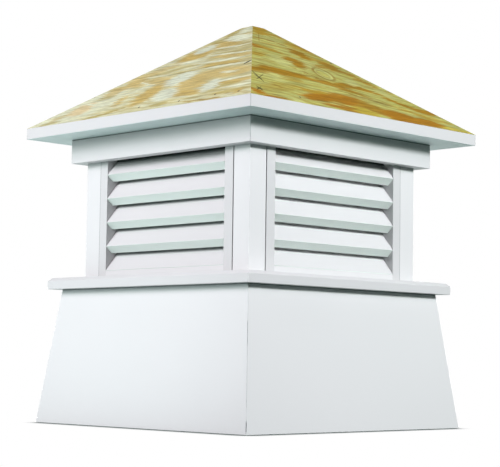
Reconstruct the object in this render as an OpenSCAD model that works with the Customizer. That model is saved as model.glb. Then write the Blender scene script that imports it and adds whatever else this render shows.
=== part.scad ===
// Louvred cupola for a roof ridge: flared base, sill, louvred section with corner posts, and a hip roof.
// Millimetres. The origin is the centre of the base at floor level, +Z is up, and -Y is the front side.

/* [Base] */
// Width of the base across its bottom edges
base_bottom_w = 560; // [500:1:640]
// Width of the base across its top edges
base_top_w = 497; // [470:1:520]
// Height of the base, up to the underside of the sill
base_h = 249; // [180:1:320]
// Thickness of the base panels
base_panel_t = 19; // [12:0.5:25]
// Leg of the three-cornered glue blocks inside the base's corners
base_block_leg = 40; // [25:1:60]
// Height of the glue blocks' lower ends above the floor
base_block_lift = 24; // [10:1:60]

/* [Sill] */
// Overhang of the sill past the base's top edges
sill_overhang = 20; // [10:1:40]
// Thickness of the sill boards
sill_t = 21; // [16:0.5:26]
// Size of the bevel along the sill's upper outer edge
sill_bevel = 6; // [2:0.5:10]
// Width of the sill boards' ledge behind the louvre frames
sill_ledge = 8; // [4:1:30]

/* [Louvred section] */
// Width across the corner posts' outer faces
body_w = 437; // [400:1:460]
// Height between the sill and the eave boards
body_h = 263; // [250:1:320]
// Width of the square corner posts
post_w = 39; // [36:0.5:48]

/* [Louvres] */
// Number of slats on each side
slat_count = 5; // [3:1:5]
// Thickness of the slats
slat_t = 18.2; // [12:0.2:20]
// Width of the slats, measured up their slope
slat_w = 46; // [40:0.5:48]
// Slope of the slats from level, in degrees
slat_angle = 50; // [40:1:55]
// Distance that the slats' tips stand out past the stiles
slat_proud = 0.5; // [0:0.1:1]
// Depth that the tongues on the slat ends go into the stiles
slat_housing = 6; // [3:0.5:9]
// Distance that the tongues' grooves stop short of the stiles' front edges
slat_stop = 4; // [2:0.5:6]
// Space around each tongue in its groove
slat_clearance = 0.4; // [0.2:0.1:1]
// Open joint between the slats' shoulders and the stiles
slat_shoulder = 0.6; // [0.2:0.1:1]
// Free height between the top slat and the head rail
slat_head_gap = 17.6; // [8:0.2:30]
// Width of the stiles' front edges
stile_w = 20.5; // [16:0.5:28]
// Depth of the stiles and head rails, front to back
stile_depth = 36; // [30:0.5:37]
// Distance that the stiles stand out past the posts' outer faces
stile_proud = 1; // [0.2:0.1:2]
// Open joint between each stile and its post
stile_joint = 1.2; // [0.4:0.1:3]
// Thickness of the head rails
head_rail_t = 18; // [12:0.5:25]
// Height of the foot strips at their thin rear edge
foot_strip_toe = 1.8; // [1:0.1:5]

/* [Frieze] */
// Height of the frieze boards
frieze_h = 45.3; // [30:0.1:70]
// Thickness of the frieze boards
frieze_t = 22; // [15:0.5:28]

/* [Roof] */
// Overhang of the eave boards past the frieze
eave_overhang = 61; // [40:1:90]
// Thickness of the eave boards
eave_t = 20.5; // [16:0.5:26]
// Width of the eave boards' ledge behind the louvre frames
eave_ledge = 8; // [4:1:30]
// Rise of the roof from the eave boards to the flat at its peak
roof_rise = 200; // [160:1:260]
// Thickness of the roof panels
roof_panel_t = 12; // [9:0.5:15]
// Width of the square flat at the peak
peak_w = 30; // [28:1:50]
// Length of the block under the peak
peak_block_h = 90; // [75:1:140]
// Thickness of the hip rafters
rafter_t = 19; // [14:0.5:19]
// Depth of the hip rafters, square to the hip
rafter_depth = 38; // [25:1:45]

/* [Hidden] */
// Half widths, measured level from the centre line
base_bottom_r = base_bottom_w / 2;
base_top_r = base_top_w / 2;
sill_r = base_top_r + sill_overhang;
body_r = body_w / 2;
frieze_r = body_r + frieze_t;
eave_r = frieze_r + eave_overhang;
peak_r = peak_w / 2;
post_inner_r = body_r - post_w;
frame_front_r = body_r + stile_proud;
frame_back_r = frame_front_r - stile_depth;
stile_outer_r = post_inner_r - stile_joint;
opening_r = stile_outer_r - stile_w;
slat_tip_r = frame_front_r + slat_proud;

// Depth of the slats' section, level, and height of it
slat_edge_in = slat_t * sin(slat_angle);
slat_edge_down = slat_t * cos(slat_angle);
slat_run = slat_w * cos(slat_angle);
slat_climb = slat_w * sin(slat_angle);
slat_back_r = slat_tip_r - slat_run - slat_edge_in;

// Inner edges of the sill and eave rings, behind frames and slats alike
ring_back_r = min(frame_back_r, slat_back_r);
sill_inner_r = ring_back_r - sill_ledge;
eave_inner_r = ring_back_r - eave_ledge;

// Levels
sill_z = base_h;
sill_top_z = sill_z + sill_t;
soffit_z = sill_top_z + body_h;
frieze_z = soffit_z - frieze_h;
eave_top_z = soffit_z + eave_t;
peak_z = eave_top_z + roof_rise;
head_rail_z = soffit_z - head_rail_t;

// Spacing of the slats between the foot strip and the head rail
slat_first_z = sill_top_z + foot_strip_toe + slat_edge_down;
slat_last_z = head_rail_z - slat_head_gap - slat_climb;
slat_pitch = (slat_last_z - slat_first_z) / (slat_count - 1);
// Small overrun that keeps cuts clear of shared faces
cut_over = 1;

// Slope of the base panels from upright, and their level thickness
base_slope = atan((base_bottom_r - base_top_r) / base_h);
base_level_t = base_panel_t / cos(base_slope);

// Slope of the roof from level, and the panels' level and upright thickness
roof_slope = atan(roof_rise / (eave_r - peak_r));
roof_level_t = roof_panel_t / sin(roof_slope);
roof_upright_t = roof_panel_t / cos(roof_slope);
hip_slope = atan(tan(roof_slope) / sqrt(2));
rafter_upright_d = rafter_depth / cos(hip_slope);

// Reach of the cutting solids, past every edge
reach = base_bottom_w + 2 * eave_r;

SIDES = ["front", "right", "back", "left"];
CORNERS = ["front_right", "back_right", "back_left", "front_left"];
SIDE_PARTS = ["base_panel", "sill_board", "louvre_stiles", "louvre_rails", "louvre_slats",
              "frieze_board", "eave_board", "roof_panel"];
CORNER_PARTS = ["base_block", "corner_post", "hip_rafter"];

PVC = "WhiteSmoke";
PLYWOOD = "BurlyWood";
LUMBER = "Tan";

// Point in the section of a slat with its tip at height z, as [distance out, height]
function slat_point(z, up, through) = [
  slat_tip_r - up * cos(slat_angle) - through * sin(slat_angle),
  z + up * sin(slat_angle) - through * cos(slat_angle)
];

// Section points of one slat between the stiles
function slat_section(z) = [
  slat_point(z, 0, 0),
  slat_point(z, slat_w, 0),
  slat_point(z, slat_w, slat_t),
  slat_point(z, 0, slat_t)
];

// Section points of its end tongues, cut back behind the stiles' fronts and grown by gap on every side
function tongue_section(z, gap) = [
  slat_point(z, (slat_proud + slat_stop - gap + gap * sin(slat_angle)) / cos(slat_angle), -gap),
  slat_point(z, slat_w + gap, -gap),
  slat_point(z, slat_w + gap, slat_t + gap),
  slat_point(z, -gap, slat_t + gap),
  slat_point(z, -gap, (slat_proud + slat_stop - gap + gap * cos(slat_angle)) / sin(slat_angle))
];

function slat_z(i) = slat_first_z + i * slat_pitch;

// Straight bar along X on the front side, from a section of [distance out, height] points
module front_bar(section, length) {
  rotate([90, 0, 90])
    linear_extrude(height = length, center = true)
      polygon([for (p = section) [-p[0], p[1]]]);
}

// The same bar with both ends mitred on the upright diagonal planes
module mitred_bar(section) {
  intersection() {
    front_bar(section, reach);
    linear_extrude(height = 2 * peak_z, center = true)
      polygon([[0, 0], [reach, -reach], [-reach, -reach]]);
  }
}

// Upright web in the front right diagonal plane, from [diagonal distance, height] points
module corner_web(section, thickness) {
  rotate([0, 0, -45])
    rotate([90, 0, 0])
      linear_extrude(height = thickness, center = true)
        polygon(section);
}

// Space inside the front base panel's inner face
module inside_base() {
  front_bar([
    [-reach, 0],
    [base_bottom_r - base_level_t, 0],
    [base_top_r - base_level_t, base_h],
    [-reach, base_h]
  ], reach);
}

// Space under the front roof panel
module under_roof() {
  front_bar([
    [-reach, eave_top_z],
    [eave_r - roof_level_t, eave_top_z],
    [peak_r, peak_z - roof_upright_t],
    [-reach, peak_z - roof_upright_t]
  ], reach);
}

module base_panel() {
  color(PVC)
    mitred_bar([
      [base_bottom_r, 0],
      [base_top_r, base_h],
      [base_top_r - base_level_t, base_h],
      [base_bottom_r - base_level_t, 0]
    ]);
}

// Glue block along the inside of a base corner, cut to both panels
module base_block() {
  block_foot_in = (base_bottom_r - base_top_r) * base_block_lift / base_h;
  foot_r = (base_bottom_r - base_level_t - block_foot_in) * sqrt(2);
  head_r = (base_top_r - base_level_t) * sqrt(2);
  face_in = base_block_leg / sqrt(2);
  color(LUMBER)
    intersection() {
      corner_web([
        [foot_r - face_in, base_block_lift],
        [foot_r + face_in, base_block_lift],
        [head_r + face_in, base_h],
        [head_r - face_in, base_h]
      ], 2 * base_block_leg);
      inside_base();
      rotate([0, 0, 90])
        inside_base();
    }
}

module sill_board() {
  color(PVC)
    mitred_bar([
      [sill_r, sill_z],
      [sill_r, sill_top_z - sill_bevel],
      [sill_r - sill_bevel, sill_top_z],
      [sill_inner_r, sill_top_z],
      [sill_inner_r, sill_z]
    ]);
}

module corner_post() {
  color(PVC)
    translate([post_inner_r, -body_r, sill_top_z])
      cube([post_w, post_w, body_h]);
}

// Two stiles of one side, grooved for the slats' tongues and cut back behind the frieze
module louvre_stiles() {
  color(PVC)
    difference() {
      for (x = [-stile_outer_r, opening_r])
        translate([x, -frame_front_r, sill_top_z])
          cube([stile_w, stile_depth, body_h]);
      for (i = [0:slat_count - 1])
        front_bar(tongue_section(slat_z(i), slat_clearance), 2 * (opening_r + slat_housing + slat_clearance));
      front_bar([
        [body_r, frieze_z],
        [frieze_r, frieze_z],
        [frieze_r, soffit_z + cut_over],
        [body_r, soffit_z + cut_over]
      ], reach);
    }
}

// Bevelled foot strip under the lowest slat, and the head rail
module louvre_rails() {
  foot_back_r = slat_tip_r - slat_edge_in;
  color(PVC) {
    front_bar([
      [frame_front_r, sill_top_z],
      [frame_front_r, slat_first_z - slat_proud / tan(slat_angle)],
      [foot_back_r, sill_top_z + foot_strip_toe],
      [foot_back_r, sill_top_z]
    ], 2 * opening_r);
    front_bar([
      [body_r, head_rail_z],
      [body_r, soffit_z],
      [frame_back_r, soffit_z],
      [frame_back_r, head_rail_z]
    ], 2 * opening_r);
  }
}

module louvre_slats() {
  color(PVC)
    for (i = [0:slat_count - 1]) {
      front_bar(slat_section(slat_z(i)), 2 * (opening_r - slat_shoulder));
      front_bar(tongue_section(slat_z(i), 0), 2 * (opening_r + slat_housing));
    }
}

module frieze_board() {
  color(PVC)
    mitred_bar([
      [body_r, frieze_z],
      [frieze_r, frieze_z],
      [frieze_r, soffit_z],
      [body_r, soffit_z]
    ]);
}

module eave_board() {
  color(PVC)
    mitred_bar([
      [eave_inner_r, soffit_z],
      [eave_r, soffit_z],
      [eave_r, eave_top_z],
      [eave_inner_r, eave_top_z]
    ]);
}

module roof_panel() {
  color(PLYWOOD)
    mitred_bar([
      [eave_r, eave_top_z],
      [peak_r, peak_z],
      [peak_r, peak_z - roof_upright_t],
      [eave_r - roof_level_t, eave_top_z]
    ]);
}

// Hip rafter from the eave boards up to the peak block, backed to both roof panels
module hip_rafter() {
  hip_foot_r = (eave_r - roof_level_t) * sqrt(2);
  hip_head_r = peak_r * sqrt(2);
  hip_head_z = peak_z - roof_upright_t;
  seat_r = hip_foot_r - rafter_upright_d / tan(hip_slope);
  head_over = hip_head_r * tan(hip_slope);
  color(LUMBER)
    difference() {
      intersection() {
        corner_web([
          [seat_r, eave_top_z],
          [hip_foot_r, eave_top_z],
          [0, hip_head_z + head_over],
          [0, hip_head_z + head_over - rafter_upright_d]
        ], rafter_t);
        under_roof();
        rotate([0, 0, 90])
          under_roof();
      }
      peak_core(peak_z + cut_over, reach);
    }
}

// Square core under the peak, from the given top down over the given length
module peak_core(top, length) {
  translate([-peak_r, -peak_r, top - length])
    cube([peak_w, peak_w, length]);
}

module peak_block() {
  color(LUMBER)
    peak_core(peak_z, peak_block_h);
}

for (i = [0:3])
  rotate([0, 0, 90 * i]) {
    base_panel();
    sill_board();
    louvre_stiles();
    louvre_rails();
    louvre_slats();
    frieze_board();
    eave_board();
    roof_panel();
    base_block();
    corner_post();
    hip_rafter();
  }
peak_block();
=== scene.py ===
import math

import bpy
from mathutils import Matrix, Vector


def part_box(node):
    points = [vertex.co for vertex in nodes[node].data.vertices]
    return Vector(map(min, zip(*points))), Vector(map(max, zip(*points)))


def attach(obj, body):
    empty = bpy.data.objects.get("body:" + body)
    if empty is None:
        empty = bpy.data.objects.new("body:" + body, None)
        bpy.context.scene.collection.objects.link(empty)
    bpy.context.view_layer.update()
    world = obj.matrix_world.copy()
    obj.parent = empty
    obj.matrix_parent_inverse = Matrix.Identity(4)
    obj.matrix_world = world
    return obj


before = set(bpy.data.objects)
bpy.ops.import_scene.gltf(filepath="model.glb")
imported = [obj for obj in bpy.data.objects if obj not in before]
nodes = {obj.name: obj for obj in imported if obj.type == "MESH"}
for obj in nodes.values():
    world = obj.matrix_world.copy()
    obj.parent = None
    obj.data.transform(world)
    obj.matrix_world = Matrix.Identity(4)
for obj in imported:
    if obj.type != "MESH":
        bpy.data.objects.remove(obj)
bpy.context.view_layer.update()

SIDES = ("front", "right", "back", "left")
CORNERS = ("front_right", "back_right", "back_left", "front_left")
MILLIMETRE = 0.001
WHITE = (1.0, 1.0, 1.0, 1.0)

# Sizes taken from the solids, in metres
EAVE_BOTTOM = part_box("eave_board_front")[0].z
EAVE_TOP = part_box("eave_board_front")[1].z
EAVE_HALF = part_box("eave_board_front")[1].x
PEAK_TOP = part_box("peak_block")[1].z
PEAK_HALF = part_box("peak_block")[1].x
ROOF_SLOPE = math.atan2(PEAK_TOP - EAVE_TOP, EAVE_HALF - PEAK_HALF)
HIP_SLOPE = math.atan(math.tan(ROOF_SLOPE) / math.sqrt(2.0))
FRIEZE_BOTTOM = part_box("frieze_board_front")[0].z
FRIEZE_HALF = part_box("frieze_board_front")[1].x
STILE_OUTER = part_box("louvre_stiles_front")[1].x
SLAT_TIP = -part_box("louvre_slats_front")[0].y
BASE_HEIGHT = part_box("base_panel_front")[1].z
BASE_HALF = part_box("base_panel_front")[1].x
SILL_OVERHANG = 0.020
BASE_LEAN = (BASE_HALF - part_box("sill_board_front")[1].x + SILL_OVERHANG) / BASE_HEIGHT

# Easing of the boards' edges
EDGE_EASING = 0.0004
EASING_SEGMENTS = 2
EASED_ANGLE = math.radians(25.0)
FLAT_ANGLE = math.radians(0.5)
WELD_REACH = 0.00001
FACE_WEIGHT = 100

# White trim board: roughness and gloss, slow clouding of the white, and fine grit
BOARD_ROUGHNESS = 0.42
BOARD_GLOSS = 0.14
BOARD_CLOUDS = 5.0
BOARD_CLOUD_SPAN = (0.15, 0.85)
BOARD_DULL = (0.975, 0.98, 0.98, 1.0)
BOARD_SHEEN_CHANGE = 0.03
BOARD_GRIT = 900.0
BOARD_GRIT_STRENGTH = 0.05
BOARD_GRIT_DEPTH = 0.001

# Joint lines between boards, the share of a line's width that is fully dark, and how far the base's near
# mitre stands open at each share of its height
LINE_CORE = 0.5
JOINT_SHADE = (0.07, 0.09, 0.09, 1.0)
JOINT_WIDTH = 0.0009
JOINT_SHARE = 0.8
MITRE_SHARE = 0.35
MITRE_WIDTH = 0.0012
MITRE_OPENING = (
    (0.015, 0.1), (0.025, 1.0), (0.08, 1.0), (0.095, 0.2),
    (0.57, 0.2), (0.60, 0.45), (0.73, 0.45), (0.76, 0.15),
)

# Dark joint lines with painted shade under the soffit and the sill, and painted shadow in the gap above the
# top slats
SEAM_SHADE_WIDTH = 0.0022
SEAM_SHADE_SHARE = 0.75
TOP_SLAT_SHADOW_LOW = FRIEZE_BOTTOM - 0.002
TOP_SLAT_SHADOW_HIGH = FRIEZE_BOTTOM + 0.003
TOP_SLAT_SHADOW_COLOUR = (0.02, 0.03, 0.025, 1.0)

# Lower edges of the slats: height of the first tip, the slats' slope and spacing, and their painted light, a
# paler greenish white as if lit from below
SLAT_FIRST = 0.2835
SLAT_SLOPE = math.radians(50.0)
SLAT_PITCH = 0.04468
SLAT_EDGE_DEPTH = 0.0006
SLAT_EDGE_PAINTED_LIGHT = (0.79, 0.87, 0.82, 1.0)

# Painted light on the eave boards' undersides: a paler greenish white than the eave boards
SOFFIT_DEPTH = 0.0003
SOFFIT_PAINTED_LIGHT = (0.74, 0.86, 0.84, 1.0)

# Plywood of the roof: how its noises stretch along and across the grain, and how far the grain wanders
BROAD_STRETCH = (9.0, 30.0, 1.0)
RAGGED_STRETCH = (45.0, 330.0, 1.0)
FEATHER_STRETCH = (14.0, 420.0, 1.0)
SWELL_STRETCH = (4.0, 11.0, 1.0)
BROKEN_STRETCH = (18.0, 90.0, 1.0)
CLOUD_STRETCH = (14.0, 60.0, 1.0)
STREAK_STRETCH = (16.0, 150.0, 1.0)
FIBRE_STRETCH = (60.0, 900.0, 1.0)
BROAD_WANDER = 0.005
RAGGED_WANDER = 0.002
FEATHER_WANDER = 0.022
WANDER_SPAN = (0.2, 0.8)

# Plywood of the roof: year rings, finer broken lines, and the strength of streaks and fibres
RINGS_PER_METRE = 55.0
RING_SWELL = 5.0
RING_STOPS = ((0.0, 0.0), (0.55, 0.15), (0.86, 1.0), (0.93, 0.8), (1.0, 0.0))
RING_SHARE = 0.5
LINES_PER_METRE = 130.0
LINE_SWELL = 14.0
LINE_STOPS = ((0.0, 0.0), (0.6, 0.0), (0.85, 1.0), (1.0, 0.0))
LINE_SHARE = 0.42
BROKEN_SPAN = (0.45, 0.62)
CLOUD_SPAN = (0.35, 0.65)
FIBRE_SPAN = (0.3, 0.7)
STREAK_RANGE = (0.73, 1.25)
FIBRE_RANGE = (0.81, 1.15)
FIBRE_STRENGTH = 0.25
FIBRE_DEPTH = 0.0006
PLYWOOD_ROUGHNESS = 0.72
PLYWOOD_GLOSS = 0.08
GRAIN_SOFTNESS = 0.35
MARK_SOFTNESS = 0.15
FRONT_TILT = 0.06
RIGHT_TILT = 0.12

# Bare softwood of the framing inside
LUMBER_PALE = (0.66, 0.47, 0.25, 1.0)
LUMBER_DARK = (0.50, 0.29, 0.11, 1.0)
LUMBER_STRETCH = (38.0, 38.0, 2.2)
LUMBER_RINGS = 9.0
LUMBER_RING_SHARE = 0.7
LUMBER_FIBRE_STRETCH = (700.0, 700.0, 25.0)
LUMBER_FIBRE_RANGE = (0.88, 1.06)
LUMBER_FIBRE_STRENGTH = 0.2
LUMBER_FIBRE_DEPTH = 0.0005
LUMBER_ROUGHNESS = 0.75

# Nail heads: their sizes and steel, and places along the eave and up the slope in millimetres
NAIL_SIDES = 24
NAIL_RADIUS = 0.0022
NAIL_THICKNESS = 0.0012
NAIL_PROUD = 0.0004
NAIL_RIM = 0.0007
NAIL_DISH = 0.00015
NAIL_EASING = 0.0002
NAIL_SMOOTH_ANGLE = math.radians(40.0)
NAIL_TOP_FACING = 0.9
NAIL_DARK = (0.02, 0.016, 0.012, 1.0)
NAIL_WORN = (0.07, 0.055, 0.04, 1.0)
NAIL_TARNISH = 900.0
NAIL_ROUGHNESS_RANGE = (0.6, 0.8)
NAIL_METALLIC = 0.4
FRONT_NAILS = ((6, 18), (112, 17), (199, 21), (257, 19))
RIGHT_NAILS = ((-164, 24), (100, 232))

# The photograph's camera, solved from its edges
IMAGE_WIDTH = 500
CAMERA_AZIMUTH = math.radians(45.19)
CAMERA_DISTANCE = 2.9045
CAMERA_HEIGHT = 0.1205
CAMERA_SIDESTEP = 0.0005
CAMERA_PITCH = math.radians(4.71)
CAMERA_ROLL = math.radians(0.81)
CAMERA_FOCAL_PIXELS = 1541.3
CAMERA_REACH = 100.0
SENSOR_WIDTH = 36.0

# Studio lamps, named for their side of the picture: bearing from the front face and height above the aim
# in degrees, width in metres, power in watts, tint, and how many times their light is thrown on
LAMP_AIM = Vector((0.0, 0.0, 0.40))
LAMP_DISTANCE = 2.4
LAMPS = (
    ("left_main", -12.0, 14.0, 0.9, 28.0, (0.86, 0.97, 0.94), 1),
    ("left_high", -16.0, 30.0, 0.9, 8.5, (1.0, 0.87, 0.98), 1),
    ("left_near", 2.0, 24.0, 0.9, 22.0, (1.0, 0.87, 0.98), 1),
    ("right_main", 92.0, 18.0, 0.3, 38.5, (0.94, 0.95, 1.0), 2),
    ("right_raised", 92.0, 24.0, 0.3, 6.0, (0.99, 0.90, 1.0), 2),
    ("right_high", 92.0, 32.0, 0.3, 4.4, (0.99, 0.90, 1.0), 2),
    ("right_far", 115.0, 14.0, 0.3, 8.5, (0.80, 1.0, 0.82), 2),
    ("overhead", 45.0, 75.0, 0.4, 4.5, (0.95, 0.99, 1.0), 1),
    ("back_right", 190.0, -3.0, 0.4, 34.0, (0.95, 0.98, 1.0), 1),
    ("back_left", 262.0, -3.0, 0.4, 34.0, (0.95, 0.98, 1.0), 1),
)

# Floor, and its shade where the base stands on it
FLOOR_SIZE = 60.0
FLOOR_DROP = 0.0008
FLOOR_COLOUR = (0.03, 0.06, 0.05, 1.0)
CONTACT_REACH = 0.03
CONTACT_DEPTH = 3.0
CONTACT_SHADE = (0.05, 0.08, 0.075, 1.0)

# Pale paper laid on the dark floor before the front face, which lights the undersides there
PAPER_PLACE = (-0.15, -0.95, 0.0)
PAPER_INNER = 0.45
PAPER_OUTER = 0.85
PAPER_COLOUR = (0.66, 0.82, 0.78, 1.0)

# Tint of the pale room as glossy boards mirror it
GLOSS_TINT = (0.88, 1.0, 0.97, 1.0)


# Shader building helpers

def new_group(name, inputs, outputs):
    tree = bpy.data.node_groups.new(name, "ShaderNodeTree")
    for socket_name, kind in inputs:
        tree.interface.new_socket(socket_name, in_out="INPUT", socket_type=kind)
    for socket_name, kind in outputs:
        tree.interface.new_socket(socket_name, in_out="OUTPUT", socket_type=kind)
    source = tree.nodes.new("NodeGroupInput").outputs
    sink = tree.nodes.new("NodeGroupOutput").inputs
    return tree, source, sink


def feed(tree, socket, value):
    if isinstance(value, bpy.types.NodeSocket):
        tree.links.new(value, socket)
    else:
        socket.default_value = value


def place_group(tree, group, **values):
    node = tree.nodes.new("ShaderNodeGroup")
    node.node_tree = group
    for name, value in values.items():
        feed(tree, node.inputs[name], value)
    return node.outputs


def math_node(tree, operation, a, b=0.0, clamp=False):
    node = tree.nodes.new("ShaderNodeMath")
    node.operation = operation
    node.use_clamp = clamp
    feed(tree, node.inputs[0], a)
    feed(tree, node.inputs[1], b)
    return node.outputs[0]


def vector_node(tree, operation, a, b):
    node = tree.nodes.new("ShaderNodeVectorMath")
    node.operation = operation
    feed(tree, node.inputs[0], a)
    feed(tree, node.inputs[1], b)
    return node.outputs["Value" if operation in ("DOT_PRODUCT", "DISTANCE") else "Vector"]


def object_place(tree):
    return tree.nodes.new("ShaderNodeTexCoord").outputs["Object"]


def split_place(tree, vector):
    node = tree.nodes.new("ShaderNodeSeparateXYZ")
    tree.links.new(vector, node.inputs[0])
    return node.outputs


def join_place(tree, x=0.0, y=0.0, z=0.0):
    node = tree.nodes.new("ShaderNodeCombineXYZ")
    for socket, value in zip(node.inputs, (x, y, z)):
        feed(tree, socket, value)
    return node.outputs[0]


def turned(tree, vector, turn):
    node = tree.nodes.new("ShaderNodeMapping")
    feed(tree, node.inputs["Vector"], vector)
    node.inputs["Rotation"].default_value = turn
    return node.outputs["Vector"]


def stretched(tree, vector, stretch):
    node = tree.nodes.new("ShaderNodeMapping")
    feed(tree, node.inputs["Vector"], vector)
    node.inputs["Scale"].default_value = stretch
    return node.outputs["Vector"]


def noise_node(tree, vector, scale=1.0, detail=2.0, roughness=0.5):
    node = tree.nodes.new("ShaderNodeTexNoise")
    feed(tree, node.inputs["Vector"], vector)
    node.inputs["Scale"].default_value = scale
    node.inputs["Detail"].default_value = detail
    node.inputs["Roughness"].default_value = roughness
    return node.outputs["Fac"]


def grey_ramp(tree, value, stops):
    node = tree.nodes.new("ShaderNodeValToRGB")
    feed(tree, node.inputs["Fac"], value)
    elements = node.color_ramp.elements
    while len(elements) < len(stops):
        elements.new(0.5)
    for element, (position, level) in zip(elements, stops):
        element.position = position
        element.color = (level, level, level, 1.0)
    return node.outputs["Color"]


def mix_colour(tree, factor, a, b, blend="MIX"):
    node = tree.nodes.new("ShaderNodeMix")
    node.data_type = "RGBA"
    node.blend_type = blend
    feed(tree, node.inputs["Factor"], factor)
    feed(tree, node.inputs[6], a)
    feed(tree, node.inputs[7], b)
    return node.outputs[2]


def map_range(tree, value, from_low, from_high, to_low=0.0, to_high=1.0, smooth=False):
    node = tree.nodes.new("ShaderNodeMapRange")
    if smooth:
        node.interpolation_type = "SMOOTHSTEP"
    feed(tree, node.inputs["Value"], value)
    node.inputs["From Min"].default_value = from_low
    node.inputs["From Max"].default_value = from_high
    node.inputs["To Min"].default_value = to_low
    node.inputs["To Max"].default_value = to_high
    return node.outputs["Result"]


def raise_surface(tree, bsdf, height, strength, depth):
    bump = tree.nodes.new("ShaderNodeBump")
    bump.inputs["Strength"].default_value = strength
    bump.inputs["Distance"].default_value = depth
    tree.links.new(height, bump.inputs["Height"])
    tree.links.new(bump.outputs["Normal"], bsdf.inputs["Normal"])


def new_material(name):
    material = bpy.data.materials.new(name)
    material.use_nodes = True
    tree = material.node_tree
    return material, tree, tree.nodes["Principled BSDF"]


def dress(node_names, material):
    for name in node_names:
        node = nodes[name]
        node.data.materials.clear()
        node.data.materials.append(material)


def ease_edges(node_names):
    for name in node_names:
        node = nodes[name]
        weld = node.modifiers.new("joined_faces", "WELD")
        weld.merge_threshold = WELD_REACH
        flat = node.modifiers.new("whole_faces", "DECIMATE")
        flat.decimate_type = "DISSOLVE"
        flat.angle_limit = FLAT_ANGLE
        bevel = node.modifiers.new("eased_edges", "BEVEL")
        bevel.width = EDGE_EASING
        bevel.segments = EASING_SEGMENTS
        bevel.limit_method = "ANGLE"
        bevel.angle_limit = EASED_ANGLE
        true_faces = node.modifiers.new("true_faces", "WEIGHTED_NORMAL")
        true_faces.weight = FACE_WEIGHT


def named(part, places):
    return [f"{part}_{place}" for place in places]


# White trim board

def make_board_surface_group():
    tree, source, sink = new_group(
        "board_surface",
        [("Vector", "NodeSocketVector"), ("Colour", "NodeSocketColor"), ("Roughness", "NodeSocketFloat")],
        [("Colour", "NodeSocketColor"), ("Roughness", "NodeSocketFloat"), ("Height", "NodeSocketFloat")],
    )
    cloud = noise_node(tree, source["Vector"], BOARD_CLOUDS, 1.0)
    tone = mix_colour(tree, map_range(tree, cloud, *BOARD_CLOUD_SPAN), BOARD_DULL, WHITE)
    tree.links.new(mix_colour(tree, 1.0, source["Colour"], tone, "MULTIPLY"), sink["Colour"])
    sheen = map_range(tree, cloud, *BOARD_CLOUD_SPAN, -BOARD_SHEEN_CHANGE, BOARD_SHEEN_CHANGE)
    tree.links.new(math_node(tree, "ADD", source["Roughness"], sheen), sink["Roughness"])
    tree.links.new(noise_node(tree, source["Vector"], BOARD_GRIT), sink["Height"])
    return tree


def make_mitre_line_group():
    tree, source, sink = new_group(
        "mitre_line",
        [("Vector", "NodeSocketVector"), ("Half", "NodeSocketFloat"), ("Lean", "NodeSocketFloat")],
        [("Mask", "NodeSocketFloat")],
    )
    x, y, z = split_place(tree, source["Vector"])
    taper = math_node(tree, "MULTIPLY", z, source["Lean"])
    edge = math_node(tree, "SUBTRACT", source["Half"], taper)
    across = math_node(tree, "SUBTRACT", edge, math_node(tree, "ABSOLUTE", x))
    along = math_node(tree, "SUBTRACT", edge, math_node(tree, "ABSOLUTE", y))
    from_corner = math_node(tree, "MAXIMUM", across, along)
    tree.links.new(map_range(tree, from_corner, MITRE_WIDTH, MITRE_WIDTH * LINE_CORE), sink["Mask"])
    return tree


BOARD_SURFACE = make_board_surface_group()
MITRE_LINE = make_mitre_line_group()


def make_trim_board(name, tone):
    material, tree, bsdf = new_material(name)
    bsdf.inputs["Specular IOR Level"].default_value = BOARD_GLOSS
    surface = place_group(
        tree,
        BOARD_SURFACE,
        Vector=object_place(tree),
        Colour=(tone, tone, tone, 1.0),
        Roughness=BOARD_ROUGHNESS,
    )
    tree.links.new(surface["Colour"], bsdf.inputs["Base Color"])
    tree.links.new(surface["Roughness"], bsdf.inputs["Roughness"])
    raise_surface(tree, bsdf, surface["Height"], BOARD_GRIT_STRENGTH, BOARD_GRIT_DEPTH)
    return material


def shade_board(material, mask, colour):
    tree = material.node_tree
    base_colour = tree.nodes["Principled BSDF"].inputs["Base Color"]
    board = base_colour.links[0].from_socket
    tree.links.new(mix_colour(tree, mask, board, colour), base_colour)


def near_corner(tree, x, y):
    right_half = math_node(tree, "GREATER_THAN", x, 0.0)
    front_half = math_node(tree, "LESS_THAN", y, 0.0)
    return math_node(tree, "MULTIPLY", right_half, front_half)


def mark_mitres(material, half, lean, share):
    tree = material.node_tree
    mitre = place_group(tree, MITRE_LINE, Vector=object_place(tree), Half=half, Lean=lean)
    shade_board(material, math_node(tree, "MULTIPLY", mitre["Mask"], share), JOINT_SHADE)


def open_near_mitre(material):
    tree = material.node_tree
    x, y, z = split_place(tree, object_place(tree))
    opening = grey_ramp(tree, math_node(tree, "DIVIDE", z, BASE_HEIGHT), MITRE_OPENING)
    share = math_node(tree, "MULTIPLY", near_corner(tree, x, y), opening)
    mark_mitres(material, BASE_HALF, BASE_LEAN, share)


def mark_stile_joints(material):
    tree = material.node_tree
    x, y, _ = split_place(tree, object_place(tree))
    run = math_node(tree, "MINIMUM", math_node(tree, "ABSOLUTE", x), math_node(tree, "ABSOLUTE", y))
    line = map_range(tree, run, STILE_OUTER - JOINT_WIDTH, STILE_OUTER - JOINT_WIDTH * LINE_CORE)
    away = math_node(tree, "SUBTRACT", JOINT_SHARE, near_corner(tree, x, y), clamp=True)
    shade_board(material, math_node(tree, "MULTIPLY", line, away), JOINT_SHADE)


def darken_above(material, low, high, share, shade):
    tree = material.node_tree
    *_, z = split_place(tree, object_place(tree))
    shade_board(material, map_range(tree, z, low, high, 0.0, share), shade)


# Darkens a band below a joint: a dark joint line widened into painted shade under the board above.
def mark_seam_shade(material, top):
    darken_above(material, top - SEAM_SHADE_WIDTH, top - SEAM_SHADE_WIDTH * LINE_CORE, SEAM_SHADE_SHARE, JOINT_SHADE)


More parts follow.
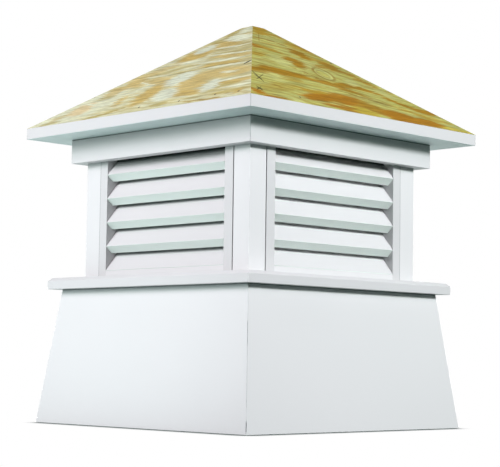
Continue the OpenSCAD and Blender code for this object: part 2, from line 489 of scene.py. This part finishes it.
def paint_light_on_slat_edges(material):
    tree = material.node_tree
    x, y, z = split_place(tree, object_place(tree))
    depth = math_node(tree, "MAXIMUM", math_node(tree, "ABSOLUTE", x), math_node(tree, "ABSOLUTE", y))
    inward = math_node(tree, "SUBTRACT", SLAT_TIP, depth)
    upward = math_node(tree, "SUBTRACT", z, SLAT_FIRST)
    climb = math_node(
        tree,
        "ADD",
        math_node(tree, "MULTIPLY", inward, math.cos(SLAT_SLOPE)),
        math_node(tree, "MULTIPLY", upward, math.sin(SLAT_SLOPE)),
    )
    half_step = SLAT_PITCH * math.sin(SLAT_SLOPE) / 2.0
    from_edge = math_node(tree, "PINGPONG", climb, half_step)
    # Painted light: the slats' lower edges are paler and greener than the slats.
    shade_board(material, math_node(tree, "LESS_THAN", from_edge, SLAT_EDGE_DEPTH), SLAT_EDGE_PAINTED_LIGHT)


def paint_light_on_underside(material):
    tree = material.node_tree
    *_, z = split_place(tree, object_place(tree))
    below = math_node(tree, "LESS_THAN", z, EAVE_BOTTOM + SOFFIT_DEPTH)
    # Painted light: the undersides are paler and greener than the rest of the eave boards.
    shade_board(material, below, SOFFIT_PAINTED_LIGHT)


# Finish of each kind of board, its pieces, and the share of the light that its white throws back. The boards
# are one white, and the lower shares paint shade on the boards that stand in less light
EASED_BOARDS = (
    ("trim_base", named("base_panel", SIDES), 0.77),
    ("trim_sill", named("sill_board", SIDES), 0.68),
    ("trim_post", named("corner_post", CORNERS), 0.76),
    ("trim_rail", named("louvre_rails", SIDES), 0.75),
    ("trim_frieze", named("frieze_board", SIDES), 0.70),
    ("trim_eave", named("eave_board", SIDES), 0.64),
)
SHARP_BOARDS = (
    ("trim_stile", named("louvre_stiles", SIDES), 0.66),
    ("trim_slat", named("louvre_slats", SIDES), 0.77),
)
trims = {}
for finish, pieces, tone in EASED_BOARDS + SHARP_BOARDS:
    trims[finish] = make_trim_board(finish, tone)
    dress(pieces, trims[finish])
for _, pieces, _ in EASED_BOARDS:
    ease_edges(pieces)
open_near_mitre(trims["trim_base"])
mark_mitres(trims["trim_eave"], EAVE_HALF, 0.0, MITRE_SHARE)
mark_mitres(trims["trim_frieze"], FRIEZE_HALF, 0.0, MITRE_SHARE)
mark_stile_joints(trims["trim_stile"])
# Painted shade: dark bands along the top of the base under the sill and the top of the frieze under the
# soffit.
mark_seam_shade(trims["trim_base"], BASE_HEIGHT)
mark_seam_shade(trims["trim_frieze"], EAVE_BOTTOM)
paint_light_on_slat_edges(trims["trim_slat"])
# Painted shadow: the frieze's shadow painted near-black on the top slats' upper part.
darken_above(trims["trim_slat"], TOP_SLAT_SHADOW_LOW, TOP_SLAT_SHADOW_HIGH, 1.0, TOP_SLAT_SHADOW_COLOUR)
paint_light_on_underside(trims["trim_eave"])


# Plywood of the roof panels

def make_grain_patch_group():
    tree, source, sink = new_group(
        "grain_patch",
        [
            ("Vector", "NodeSocketVector"),
            ("Place", "NodeSocketVector"),
            ("Turn", "NodeSocketVector"),
            ("Size", "NodeSocketVector"),
            ("Bow", "NodeSocketFloat"),
            ("Softness", "NodeSocketFloat"),
        ],
        [("Mask", "NodeSocketFloat")],
    )
    local = tree.nodes.new("ShaderNodeMapping")
    local.vector_type = "TEXTURE"
    tree.links.new(source["Vector"], local.inputs["Vector"])
    tree.links.new(source["Place"], local.inputs["Location"])
    tree.links.new(source["Turn"], local.inputs["Rotation"])
    tree.links.new(source["Size"], local.inputs["Scale"])
    along, across, _ = split_place(tree, local.outputs["Vector"])
    along_squared = math_node(tree, "MULTIPLY", along, along)
    bow = math_node(tree, "MULTIPLY", source["Bow"], math_node(tree, "SUBTRACT", 1.0, along_squared))
    bowed = math_node(tree, "SUBTRACT", across, bow)
    reach = math_node(tree, "ADD", along_squared, math_node(tree, "MULTIPLY", bowed, bowed))
    inside = math_node(tree, "SUBTRACT", 1.0, math_node(tree, "SQRT", reach))
    softened = math_node(tree, "DIVIDE", inside, source["Softness"])
    tree.links.new(map_range(tree, softened, 0.0, 1.0, smooth=True), sink["Mask"])
    return tree


def wander(tree, vector, stretch, distance):
    noise = noise_node(tree, stretched(tree, vector, stretch))
    return map_range(tree, noise, *WANDER_SPAN, -distance, distance)


def make_plywood_grain_group():
    tree, source, sink = new_group(
        "plywood_grain",
        [("Panel", "NodeSocketVector"), ("Seed", "NodeSocketFloat"), ("Tilt", "NodeSocketFloat")],
        [
            ("Drifted", "NodeSocketVector"),
            ("Rings", "NodeSocketFloat"),
            ("Lines", "NodeSocketFloat"),
            ("Cloud", "NodeSocketFloat"),
            ("Streak", "NodeSocketFloat"),
            ("Fibre", "NodeSocketFloat"),
        ],
    )
    panel = source["Panel"]
    moved = vector_node(tree, "ADD", panel, join_place(tree, z=source["Seed"]))
    along, up_slope, _ = split_place(tree, panel)

    broad = wander(tree, moved, BROAD_STRETCH, BROAD_WANDER)
    ragged = wander(tree, moved, RAGGED_STRETCH, RAGGED_WANDER)
    climb = math_node(tree, "ADD", broad, ragged)
    feather = wander(tree, moved, FEATHER_STRETCH, FEATHER_WANDER)
    drift = join_place(tree, feather, climb)
    tree.links.new(vector_node(tree, "ADD", panel, drift), sink["Drifted"])

    lean = math_node(tree, "MULTIPLY", along, source["Tilt"])
    height = math_node(tree, "ADD", up_slope, math_node(tree, "ADD", climb, lean))
    swell = noise_node(tree, stretched(tree, moved, SWELL_STRETCH), detail=1.0)

    def repeated(per_metre, swell_share, stops):
        rise = math_node(tree, "MULTIPLY", height, per_metre)
        swollen = math_node(tree, "ADD", rise, math_node(tree, "MULTIPLY", swell, swell_share))
        return grey_ramp(tree, math_node(tree, "FRACT", swollen), stops)

    tree.links.new(repeated(RINGS_PER_METRE, RING_SWELL, RING_STOPS), sink["Rings"])
    line = repeated(LINES_PER_METRE, LINE_SWELL, LINE_STOPS)
    broken = noise_node(tree, stretched(tree, moved, BROKEN_STRETCH))
    patchy = map_range(tree, broken, *BROKEN_SPAN)
    tree.links.new(math_node(tree, "MULTIPLY", line, patchy), sink["Lines"])

    for output, stretch, roughness in (
        ("Cloud", CLOUD_STRETCH, 0.6),
        ("Streak", STREAK_STRETCH, 0.6),
        ("Fibre", FIBRE_STRETCH, 0.65),
    ):
        noise = noise_node(tree, stretched(tree, moved, stretch), detail=3.0, roughness=roughness)
        tree.links.new(noise, sink[output])
    return tree


GRAIN_PATCH = make_grain_patch_group()
PLYWOOD_GRAIN = make_plywood_grain_group()

# Patches of grain on a panel, in its own plane: place along the eave and up the slope, turn in degrees,
# half length, half width and bow in millimetres, tint, and strength
FRONT_GRAIN = (
    # The first patch darkens the panel broadly towards the near hip and the ridge.
    (120, 150, -55, 190, 75, 0, "olive", 0.45),
    (-205, 60, 20, 130, 80, 0, "pale", 0.7),
    (1, 271, -5, 67, 25, 0, "orange", 0.84),
    (-25, 291, 11, 30, 18, 0, "olive", 0.67),
    (45, 303, 14, 9, 17, 0, "orange", 0.78),
    (-18, 325, 61, 26, 15, 0, "olive", 0.9),
    (26, 295, -12, 50, 19, 0, "pale", 0.95),
    (13, 333, -7, 22, 16, 0, "pale", 0.84),
    (42, 253, 10, 57, 7, 0, "grey", 0.9),
    (37, 254, -6, 56, 6, 0, "pale", 0.78),
    (-44, 233, 8, 48, 32, 10, "orange", 0.95),
    (-38, 262, 14, 28, 20, 0, "cool", 0.95),
    (-31, 336, 25, 20, 12, 0, "olive", 0.8),
    (60, 224, -4, 77, 5, 0, "grey", 0.67),
    (78, 205, -8, 80, 9, 0, "tan", 0.95),
    (64, 217, -8, 85, 4, 0, "pale", 0.9),
    (-43, 180, 8, 110, 8, -1, "olive", 0.67),
    (-45, 207, 2, 53, 9, 0, "pale", 0.78),
    (63, 188, -2, 90, 6, 0, "pale", 0.9),
    (84, 168, -5, 68, 15, 0, "orange", 0.84),
    (45, 153, 1, 125, 5.5, 9, "grey", 0.84),
    (107, 156, -3, 85, 5, 0, "pale", 0.78),
    (131, 118, -6, 104, 25, 6, "tan", 0.84),
    (146, 122, -10, 32, 5, 0, "pale", 0.78),
    (76, 90, 57, 36, 54, 0, "tan", 0.95),
    (97, 49, -10, 54, 14, 0, "orange", 0.9),
    (200, 72, 1, 54, 12, -2, "orange", 0.84),
    (190, 83, 0, 56, 5, 0, "pale", 0.9),
    (228, 50, 3, 41, 5.5, 0, "pale", 0.9),
    (191, 63, -2, 29, 8, 0, "olive", 0.67),
    (235, 27, 4, 55, 11, 0, "olive", 0.9),
    (253, 20, 28, 8, 18, 0, "orange", 0.9),
    (183, 7, -4, 68, 3, 0, "vein", 0.9),
    (137, 24, -9, 31, 5.5, 0, "olive", 0.67),
    (60, 17, 2, 28, 10, 0, "olive", 0.84),
    (-28, 77, 90, 64, 31, -4, "orange", 0.9),
    (-47, 134, -18, 53, 18, 0, "tan", 0.78),
    (-118, 141, -20, 46, 18, 0, "tan", 0.78),
    (-110, 184, 22, 71, 18, 0, "tan", 0.67),
    (13, 129, 21, 39, 36, 0, "cool", 0.95),
    (37, 61, 58, 27, 43, 0, "cool", 0.9),
    (146, 67, 28, 24, 38, 0, "cool", 0.95),
    (164, 38, 10, 19, 15, 0, "grey", 0.39),
    (-81, 132, -25, 44, 3, 0, "pale", 0.9),
    (-73, 110, 23, 29, 7.5, 0, "pale", 0.84),
    (-192, 54, -1, 36, 33, 0, "pink", 0.95),
    (-160, 117, 4, 30, 28, 0, "orange", 0.67),
    (-128, 148, 0, 29, 27, 0, "tan", 0.84),
    (-93, 63, 21, 12, 32, 0, "orange", 0.78),
    (-92, 17, 16, 62, 7.5, -4, "olive", 0.95),
    (-243, 9, 5, 36, 9, 0, "olive", 0.67),
    (-232, 29, 27, 28, 12, 0, "tan", 0.56),
    (-176, 69, -16, 45, 4.5, 0, "pale", 0.9),
    (-160, 94, 8, 32, 10, 0, "olive", 0.56),
    (140, 180, 4, 7, 3.5, 0, "grey", 0.67),
)

RIGHT_GRAIN = (
    (0, 339, 24, 56, 15, 0, "ochre", 0.95),
    (-14, 312, 12, 50, 6.5, 4, "ochre", 0.9),
    (57, 279, -15, 41, 15, 0, "ochre", 0.78),
    (-27, 271, -8, 59, 4, 13, "vein", 0.67),
    (-70, 229, -9, 47, 10, 8, "ochre", 0.9),
    (-99, 239, 14, 13, 13, 0, "rust", 1),
    (-122, 199, 22, 30, 12, 0, "ochre", 0.78),
    (25, 243, -22, 32, 22, 0, "brown", 1),
    (70, 228, -10, 30, 10, 0, "ochre", 0.78),
    (-38, 193, -78, 31, 28, 11, "brown", 1),
    (-11, 143, -31, 45, 4, -13, "vein", 1),
    (65, 124, -2, 57, 9, 5, "brown", 0.9),
    (41, 122, 9, 30, 12, 0, "brown", 0.67),
    (78, 207, -22, 29, 26, 0, "brown", 0.9),
    (114, 191, -15, 27, 11, 0, "brown", 0.78),
    (127, 165, -41, 21, 12, 0, "brown", 0.78),
    (-129, 111, 4, 110, 18, 19, "brown", 1),
    (8, 96, -16, 80, 13, 17, "brown", 0.9),
    (-151, 134, -4, 21, 17, 0, "brown", 0.67),
    (-117, 104, -2, 36, 11, 0, "ochre", 0.56),
    (-276, 17, 4, 17, 13, 0, "rust", 1),
    (-241, 4, 2, 46, 5, 0, "rust", 0.95),
    (-96, 42, 15, 76, 19, 0, "rust", 1),
    (-27, 57, 7, 41, 20, 0, "rust", 0.9),
    (-89, 63, 5, 41, 9, 0, "ochre", 0.9),
    (-125, 67, -8, 22, 5.5, 0, "ochre", 0.78),
    (-57, 10, -2, 75, 9, 0, "rust", 0.9),
    (-9, 42, -8, 48, 19, 0, "brown", 0.78),
    (-183, 6, -1, 12, 12, 0, "pale", 0.67),
    (-75, 184, -50, 25, 34, 0, "pale", 0.67),
    (16, 198, -60, 22, 34, 0, "pale", 0.56),
    (-159, 98, -37, 22, 24, 0, "pale", 0.45),
    (-190, 54, 16, 75, 18, 0, "ochre", 0.4),
    (-192, 56, -31, 9, 5, 0, "vein", 0.8),
    (78, 114, -6, 71, 12, 11, "brown", 0.95),
    (165, 86, -25, 49, 12, 0, "brown", 0.95),
    (218, 68, 0, 44, 17, 0, "brown", 1),
    (138, 164, -43, 32, 11, 0, "brown", 0.78),
    (61, 78, -11, 81, 4, 0, "vein", 0.67),
    (173, 49, -19, 65, 8, 0, "ochre", 0.78),
    (-13, 51, 19, 54, 18, 0, "rust", 0.95),
    (39, 38, -30, 35, 30, 0, "brown", 0.9),
    (100, 19, -4, 64, 33, 0, "rust", 1),
    (181, 16, 0, 53, 20, 0, "rust", 1),
    (-4, 11, -5, 40, 23, 0, "yellow", 0.9),
    (-49, 18, 7, 27, 7.5, 0, "rust", 0.78),
    (-106, 26, -5, 34, 4, 0, "vein", 0.8),
    (-59, 25, -7, 30, 4, 0, "vein", 0.7),
    (37, 199, 1, 22, 11, 0, "brown", 0.8),
    (236, 39, -15, 35, 9, 0, "ochre", 0.67),
    (249, 3, -3, 54, 16, 0, "yellow", 0.67),
    (80, 148, -44, 19, 26, 0, "pale", 0.67),
    (154, 124, -33, 29, 22, 0, "pale", 0.56),
    (55, 285, -50, 75, 9, 0, "brown", 0.55),
    (24, 318, -14, 45, 5, 0, "brown", 0.6),
    (50, 262, -18, 48, 4, 0, "brown", 0.55),
    (-30, 262, -8, 40, 4, 0, "ochre", 0.6),
    (150, 150, -40, 60, 8, 0, "ochre", 0.5),
)

# Knot rings, scratches and dents, which cut across the grain
FRONT_MARKS = (
    (166, 153, 62, 9, 3.5, 0, "dark", 1),
    (107, 216, 0, 4, 2, 0, "dark", 0.5),
)
RIGHT_MARKS = (
    (-216, 85, -98, 26, 1.9, 0, "dark", 0.8),
    (-211, 85, 36, 28, 1.3, 0, "dark", 0.6),
    (-217, 83, -67, 9, 2.4, 0, "dark", 0.7),
    (-256, 31, -79, 9, 2.4, 0, "dark", 0.85),
    (-258, 30, 36, 18, 1.2, 0, "dark", 0.65),
    (-257, 30, 0, 8, 2.2, 0, "dark", 0.75),
    (-46, 291, -128, 38, 0.9, 0, "vein", 0.7),
    (19, 163, 47, 34, 27, 0, "vein", 0.6),
    (19, 163, 55, 26, 21, 0, "ground_pale", 0.95),
    (16, 162, 66, 18, 17, 0, "vein", 0.4),
    (16, 162, 122, 13, 10, 0, "ground", 0.9),
)

FRONT_TINTS = {
    "ground": (0.60, 0.58, 0.32, 1.0),
    "ground_pale": (0.65, 0.67, 0.47, 1.0),
    "ring": (0.48, 0.38, 0.14, 1.0),
    "orange": (0.53, 0.39, 0.12, 1.0),
    "tan": (0.56, 0.44, 0.17, 1.0),
    "olive": (0.43, 0.36, 0.13, 1.0),
    "grey": (0.39, 0.33, 0.12, 1.0),
    "pale": (0.69, 0.73, 0.54, 1.0),
    "cool": (0.63, 0.68, 0.53, 1.0),
    "pink": (0.66, 0.55, 0.31, 1.0),
    "vein": (0.33, 0.22, 0.06, 1.0),
    "dark": (0.04, 0.03, 0.01, 1.0),
}
RIGHT_TINTS = {
    "ground": (0.41, 0.395, 0.098, 1.0),
    "ground_pale": (0.46, 0.475, 0.16, 1.0),
    "ring": (0.27, 0.165, 0.022, 1.0),
    "ochre": (0.37, 0.235, 0.022, 1.0),
    "brown": (0.31, 0.168, 0.010, 1.0),
    "rust": (0.325, 0.15, 0.008, 1.0),
    "vein": (0.23, 0.125, 0.014, 1.0),
    "pale": (0.51, 0.525, 0.20, 1.0),
    "yellow": (0.43, 0.335, 0.04, 1.0),
    "dark": (0.03, 0.02, 0.01, 1.0),
}


def lay_patch(tree, vector, colour, patch, tints, softness):
    u, v, turn, half_length, half_width, bow, tint, strength = patch
    laid = place_group(
        tree,
        GRAIN_PATCH,
        Vector=vector,
        Place=(u * MILLIMETRE, v * MILLIMETRE, 0.0),
        Turn=(0.0, 0.0, math.radians(turn)),
        Size=(half_length * MILLIMETRE, half_width * MILLIMETRE, 1.0),
        Bow=bow / half_width,
        Softness=softness,
    )
    return mix_colour(tree, math_node(tree, "MULTIPLY", laid["Mask"], strength), colour, tints[tint])


def make_roof_plywood(name, figure, along, seed):
    grain, marks, tints, tilt = figure
    material, tree, bsdf = new_material(name)
    place = object_place(tree)
    *_, z = split_place(tree, place)
    run = vector_node(tree, "DOT_PRODUCT", place, along)
    rise = math_node(tree, "SUBTRACT", z, EAVE_TOP)
    panel = join_place(tree, run, math_node(tree, "MULTIPLY", rise, 1.0 / math.sin(ROOF_SLOPE)))
    field = place_group(tree, PLYWOOD_GRAIN, Panel=panel, Seed=seed, Tilt=tilt)

    cloud = map_range(tree, field["Cloud"], *CLOUD_SPAN)
    colour = mix_colour(tree, cloud, tints["ground"], tints["ground_pale"])
    colour = mix_colour(tree, math_node(tree, "MULTIPLY", field["Rings"], RING_SHARE), colour, tints["ring"])
    for patch in grain:
        colour = lay_patch(tree, field["Drifted"], colour, patch, tints, GRAIN_SOFTNESS)
    colour = mix_colour(tree, math_node(tree, "MULTIPLY", field["Lines"], LINE_SHARE), colour, tints["vein"])
    for mark in marks:
        colour = lay_patch(tree, panel, colour, mark, tints, MARK_SOFTNESS)
    for shade, reach in (("Streak", STREAK_RANGE), ("Fibre", FIBRE_RANGE)):
        colour = mix_colour(tree, 1.0, colour, map_range(tree, field[shade], *FIBRE_SPAN, *reach), "MULTIPLY")

    tree.links.new(colour, bsdf.inputs["Base Color"])
    raise_surface(tree, bsdf, field["Fibre"], FIBRE_STRENGTH, FIBRE_DEPTH)
    bsdf.inputs["Roughness"].default_value = PLYWOOD_ROUGHNESS
    bsdf.inputs["Specular IOR Level"].default_value = PLYWOOD_GLOSS
    return material


FRONT_FIGURE = (FRONT_GRAIN, FRONT_MARKS, FRONT_TINTS, FRONT_TILT)
RIGHT_FIGURE = (RIGHT_GRAIN, RIGHT_MARKS, RIGHT_TINTS, RIGHT_TILT)

# Figure of each roof panel, the direction along its eave, and the seed of its fine grain
ROOF_PANELS = {
    "front": (FRONT_FIGURE, (1.0, 0.0, 0.0), 0.0),
    "right": (RIGHT_FIGURE, (0.0, 1.0, 0.0), 3.7),
    "back": (FRONT_FIGURE, (1.0, 0.0, 0.0), 7.1),
    "left": (RIGHT_FIGURE, (0.0, 1.0, 0.0), 11.9),
}
for side, (figure, along, seed) in ROOF_PANELS.items():
    dress([f"roof_panel_{side}"], make_roof_plywood(f"roof_plywood_{side}", figure, along, seed))


# Bare softwood of the framing inside

def make_lumber(name, grain_turn):
    material, tree, bsdf = new_material(name)
    place = turned(tree, object_place(tree), grain_turn)
    rings = noise_node(tree, stretched(tree, place, LUMBER_STRETCH))
    lines = math_node(tree, "FRACT", math_node(tree, "MULTIPLY", rings, LUMBER_RINGS))
    line_share = math_node(tree, "MULTIPLY", lines, LUMBER_RING_SHARE)
    fibre = noise_node(tree, stretched(tree, place, LUMBER_FIBRE_STRETCH))
    shade = map_range(tree, fibre, *FIBRE_SPAN, *LUMBER_FIBRE_RANGE)
    colour = mix_colour(tree, line_share, LUMBER_PALE, LUMBER_DARK)
    tree.links.new(mix_colour(tree, 1.0, colour, shade, "MULTIPLY"), bsdf.inputs["Base Color"])
    raise_surface(tree, bsdf, fibre, LUMBER_FIBRE_STRENGTH, LUMBER_FIBRE_DEPTH)
    bsdf.inputs["Roughness"].default_value = LUMBER_ROUGHNESS
    return material


dress(named("base_block", CORNERS) + ["peak_block"], make_lumber("lumber_upright", (0.0, 0.0, 0.0)))
for quarter, corner in enumerate(CORNERS):
    hip_heading = math.radians(90.0 * quarter - 45.0)
    hip_turn = (0.0, math.radians(90.0) + HIP_SLOPE, -hip_heading)
    dress([f"hip_rafter_{corner}"], make_lumber(f"lumber_hip_{corner}", hip_turn))


# Nails through the roof panels

def make_nail_steel():
    material, tree, bsdf = new_material("nail_steel_dull")
    tarnish = noise_node(tree, object_place(tree), NAIL_TARNISH, 3.0)
    colour = mix_colour(tree, map_range(tree, tarnish, *CLOUD_SPAN), NAIL_DARK, NAIL_WORN)
    tree.links.new(colour, bsdf.inputs["Base Color"])
    tree.links.new(map_range(tree, tarnish, *FIBRE_SPAN, *NAIL_ROUGHNESS_RANGE), bsdf.inputs["Roughness"])
    bsdf.inputs["Metallic"].default_value = NAIL_METALLIC
    return material


def model_nail_head():
    bpy.ops.object.select_all(action="DESELECT")
    bpy.ops.mesh.primitive_cylinder_add(vertices=NAIL_SIDES, radius=NAIL_RADIUS, depth=NAIL_THICKNESS)
    nail = bpy.context.object
    for face in nail.data.polygons:
        face.select = face.normal.z > NAIL_TOP_FACING
    bpy.ops.object.mode_set(mode="EDIT")
    bpy.ops.mesh.select_mode(type="FACE")
    bpy.ops.mesh.inset(thickness=NAIL_RIM, depth=-NAIL_DISH)
    bpy.ops.object.mode_set(mode="OBJECT")
    bpy.ops.object.modifier_add(type="BEVEL")
    bevel = nail.modifiers[-1]
    bevel.width = NAIL_EASING
    bevel.segments = EASING_SEGMENTS
    bevel.limit_method = "ANGLE"
    bpy.ops.object.modifier_apply(modifier=bevel.name)
    bpy.ops.object.shade_smooth_by_angle(angle=NAIL_SMOOTH_ANGLE)
    nail.data.materials.append(make_nail_steel())
    return nail


def drive_nail(head, quarter, u, v):
    nail = head.copy()
    nail.data = head.data.copy()
    bpy.context.scene.collection.objects.link(nail)
    out = Vector((0.0, -math.sin(ROOF_SLOPE), math.cos(ROOF_SLOPE)))
    up_slope = Vector((0.0, math.cos(ROOF_SLOPE), math.sin(ROOF_SLOPE)))
    spot = Vector((u, -EAVE_HALF, EAVE_TOP)) + up_slope * v + out * (NAIL_PROUD - NAIL_THICKNESS / 2.0)
    turn = Matrix.Rotation(math.radians(90.0 * quarter), 4, "Z")
    nail.matrix_world = turn @ Matrix.Translation(spot) @ Matrix.Rotation(ROOF_SLOPE, 4, "X")
    return nail


def drive_roof_nails():
    head = model_nail_head()
    for quarter, side in enumerate(SIDES):
        places = FRONT_NAILS if side in ("front", "back") else RIGHT_NAILS
        mirror = 1.0 if side in ("front", "right") else -1.0
        row = [drive_nail(head, quarter, mirror * u * MILLIMETRE, v * MILLIMETRE) for u, v in places]
        bpy.ops.object.select_all(action="DESELECT")
        for nail in row:
            nail.select_set(True)
        bpy.context.view_layer.objects.active = row[0]
        bpy.ops.object.transform_apply(location=True, rotation=True, scale=True)
        bpy.ops.object.join()
        row[0].name = f"roof_nails_{side}"
        row[0].data.name = f"roof_nails_{side}"
        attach(row[0], "root")
    bpy.data.objects.remove(head)


drive_roof_nails()


# Camera

def set_camera():
    back = Vector((math.sin(CAMERA_AZIMUTH), -math.cos(CAMERA_AZIMUTH), 0.0))
    level_right = Vector((math.cos(CAMERA_AZIMUTH), math.sin(CAMERA_AZIMUTH), 0.0))
    place = back * CAMERA_DISTANCE + level_right * CAMERA_SIDESTEP + Vector((0.0, 0.0, CAMERA_HEIGHT))
    forward = -back * math.cos(CAMERA_PITCH) + Vector((0.0, 0.0, math.sin(CAMERA_PITCH)))
    level_up = level_right.cross(forward)
    right = level_right * math.cos(CAMERA_ROLL) + level_up * math.sin(CAMERA_ROLL)
    up = -level_right * math.sin(CAMERA_ROLL) + level_up * math.cos(CAMERA_ROLL)
    data = bpy.data.cameras.new("photo_camera")
    data.sensor_fit = "HORIZONTAL"
    data.sensor_width = SENSOR_WIDTH
    data.lens = CAMERA_FOCAL_PIXELS / IMAGE_WIDTH * SENSOR_WIDTH
    data.clip_end = CAMERA_REACH
    camera = bpy.data.objects.new("photo_camera", data)
    bpy.context.scene.collection.objects.link(camera)
    turn = Matrix((right, up, -forward)).transposed().to_4x4()
    camera.matrix_world = Matrix.Translation(place) @ turn
    bpy.context.scene.camera = camera


set_camera()


# Light, floor and background

def set_lamp(name, bearing, height_angle, width, power, tint, bounces):
    data = bpy.data.lights.new(name, "AREA")
    data.size = width
    data.energy = power
    data.color = tint
    data.cycles.max_bounces = bounces
    lamp = bpy.data.objects.new(name, data)
    bpy.context.scene.collection.objects.link(lamp)
    side, lift = math.radians(bearing), math.radians(height_angle)
    toward = Vector((math.sin(side) * math.cos(lift), -math.cos(side) * math.cos(lift), math.sin(lift)))
    lamp.location = LAMP_AIM + toward * LAMP_DISTANCE
    lamp.rotation_euler = (-toward).to_track_quat("-Z", "Y").to_euler()


def pale_room(tree):
    path = tree.nodes.new("ShaderNodeLightPath").outputs
    seen = math_node(tree, "MAXIMUM", path["Is Camera Ray"], path["Is Glossy Ray"])
    seen = math_node(tree, "MAXIMUM", seen, path["Is Transmission Ray"])
    return seen, mix_colour(tree, path["Is Camera Ray"], GLOSS_TINT, WHITE)


def make_floor_paper():
    material = bpy.data.materials.new("studio_floor")
    material.use_nodes = True
    tree = material.node_tree
    tree.nodes.clear()
    paper = tree.nodes.new("ShaderNodeBsdfDiffuse")
    distance = vector_node(tree, "DISTANCE", object_place(tree), PAPER_PLACE)
    away = map_range(tree, distance, PAPER_INNER, PAPER_OUTER, smooth=True)
    tree.links.new(mix_colour(tree, away, PAPER_COLOUR, FLOOR_COLOUR), paper.inputs["Color"])
    seen, tint = pale_room(tree)
    contact = tree.nodes.new("ShaderNodeAmbientOcclusion")
    contact.inputs["Distance"].default_value = CONTACT_REACH
    clear = math_node(tree, "POWER", contact.outputs["AO"], CONTACT_DEPTH)
    glow = tree.nodes.new("ShaderNodeEmission")
    tree.links.new(mix_colour(tree, clear, CONTACT_SHADE, tint), glow.inputs["Color"])
    mix = tree.nodes.new("ShaderNodeMixShader")
    tree.links.new(seen, mix.inputs[0])
    tree.links.new(paper.outputs[0], mix.inputs[1])
    tree.links.new(glow.outputs[0], mix.inputs[2])
    tree.links.new(mix.outputs[0], tree.nodes.new("ShaderNodeOutputMaterial").inputs["Surface"])
    return material


def set_floor():
    bpy.ops.object.select_all(action="DESELECT")
    bpy.ops.mesh.primitive_plane_add(size=FLOOR_SIZE, location=(0.0, 0.0, -FLOOR_DROP))
    floor = bpy.context.object
    floor.name = "studio_floor"
    floor.data.materials.append(make_floor_paper())


def set_world():
    world = bpy.data.worlds.new("studio")
    bpy.context.scene.world = world
    world.use_nodes = True
    tree = world.node_tree
    tree.nodes.clear()
    room = tree.nodes.new("ShaderNodeBackground")
    seen, tint = pale_room(tree)
    tree.links.new(tint, room.inputs["Color"])
    tree.links.new(seen, room.inputs["Strength"])
    tree.links.new(room.outputs[0], tree.nodes.new("ShaderNodeOutputWorld").inputs["Surface"])


for lamp in LAMPS:
    set_lamp(*lamp)
set_floor()
set_world()

bpy.context.scene.view_settings.view_transform = "Standard"
